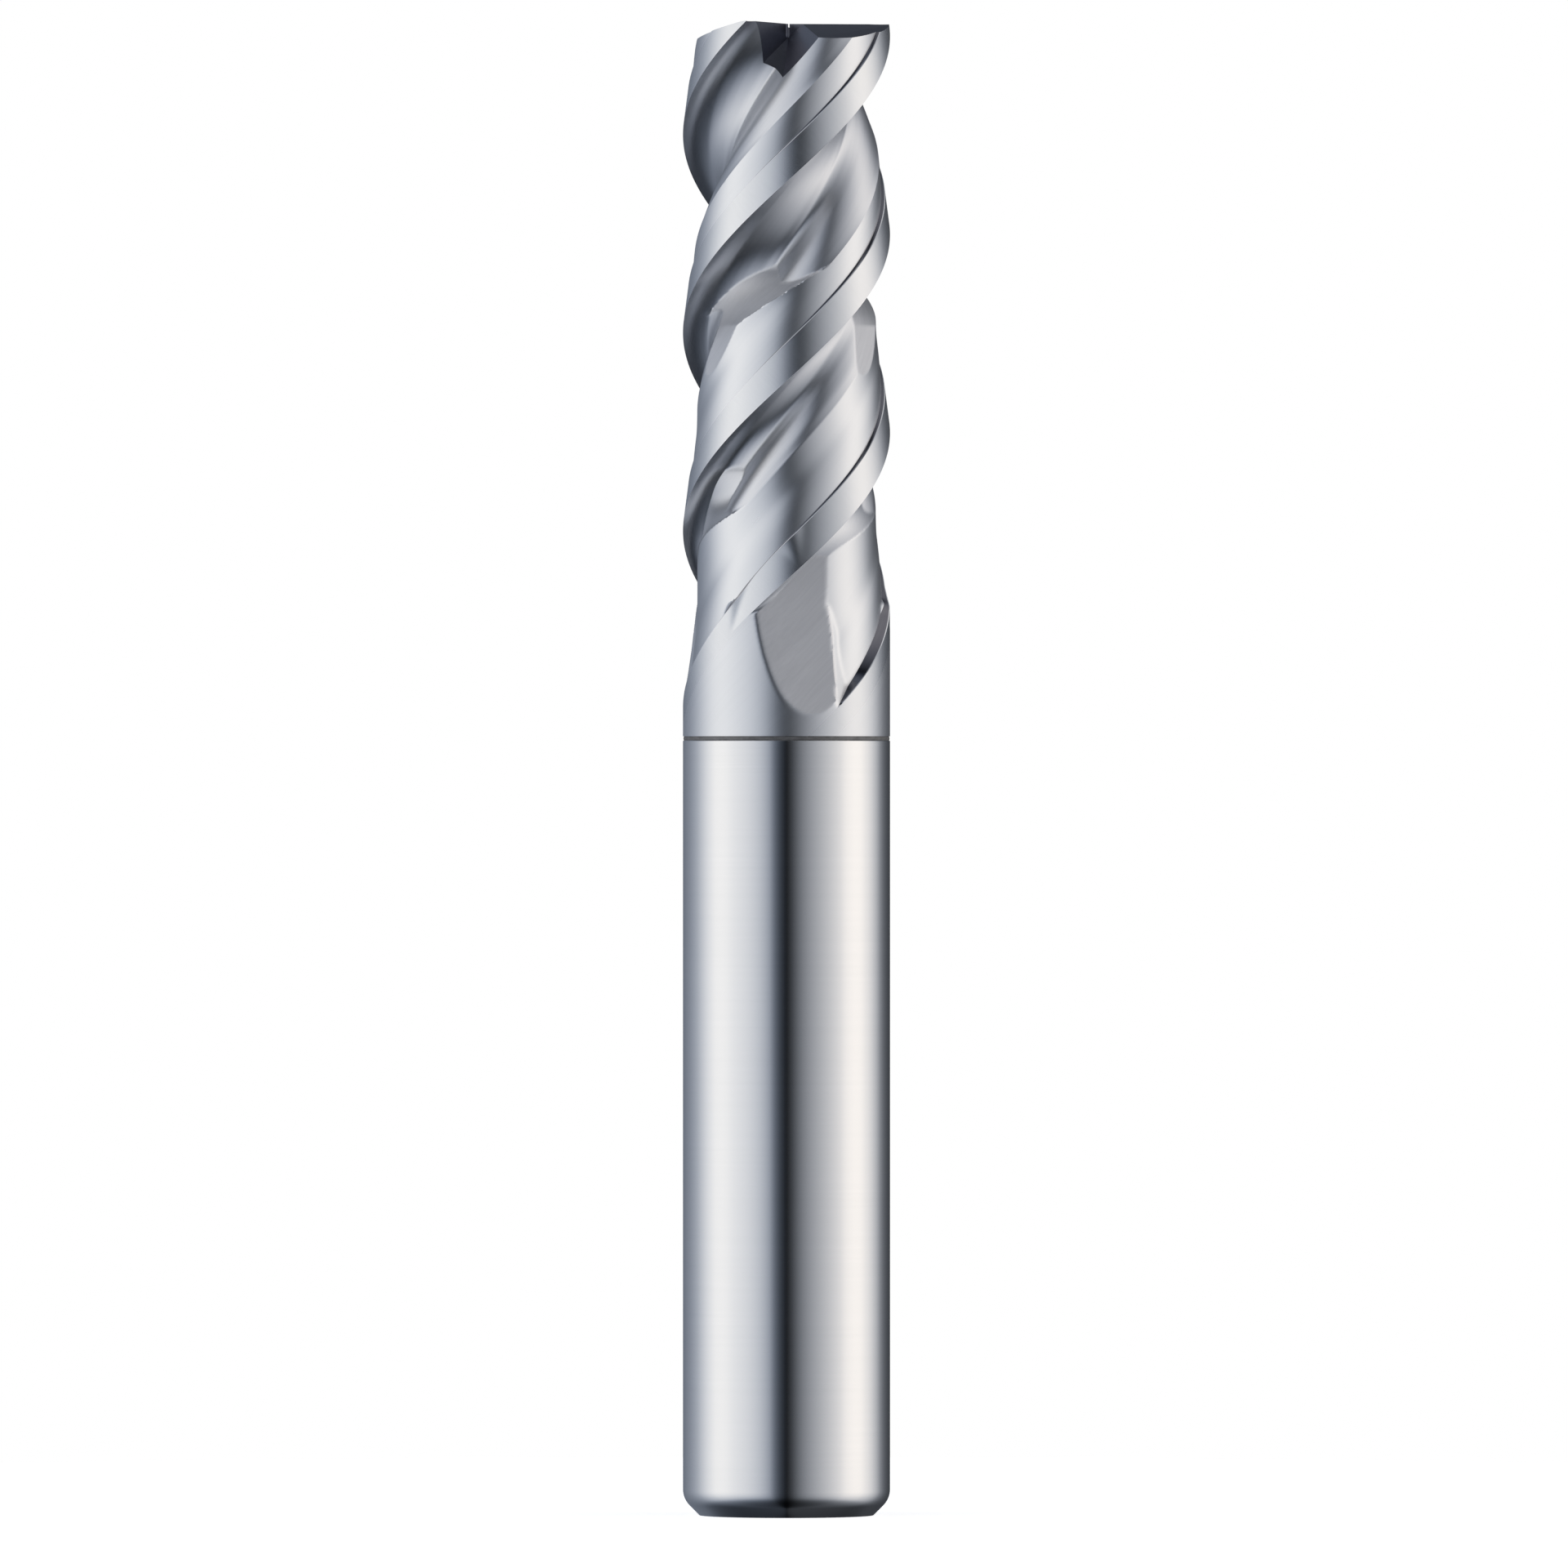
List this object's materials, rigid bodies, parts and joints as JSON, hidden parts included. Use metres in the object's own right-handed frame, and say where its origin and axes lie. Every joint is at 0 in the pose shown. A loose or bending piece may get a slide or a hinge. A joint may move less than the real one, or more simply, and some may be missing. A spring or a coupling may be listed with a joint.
{
  "type": "three-flute square end mill",
  "caption": "Square end mill with a helical fluted carbide cutting head brazed onto a plain ground cylindrical shank with a chamfered end, for milling slots and shoulders.",
  "frame": {"origin": "centre of the flat end face of the shank, on the tool axis", "axes": "+Z along the tool axis from the shank end to the cutting tip; -Y towards the front view; +X to its right"},
  "size_m": [0.01, 0.01, 0.072],
  "materials": {
    "ground_carbide": "satin",
    "silver_braze": "matte",
    "ground_steel": "polished"
  },
  "bodies": {
    "root": {"cutting_head": "ground_carbide", "braze_film": "silver_braze", "shank": "ground_steel"}
  },
  "joints": []
}
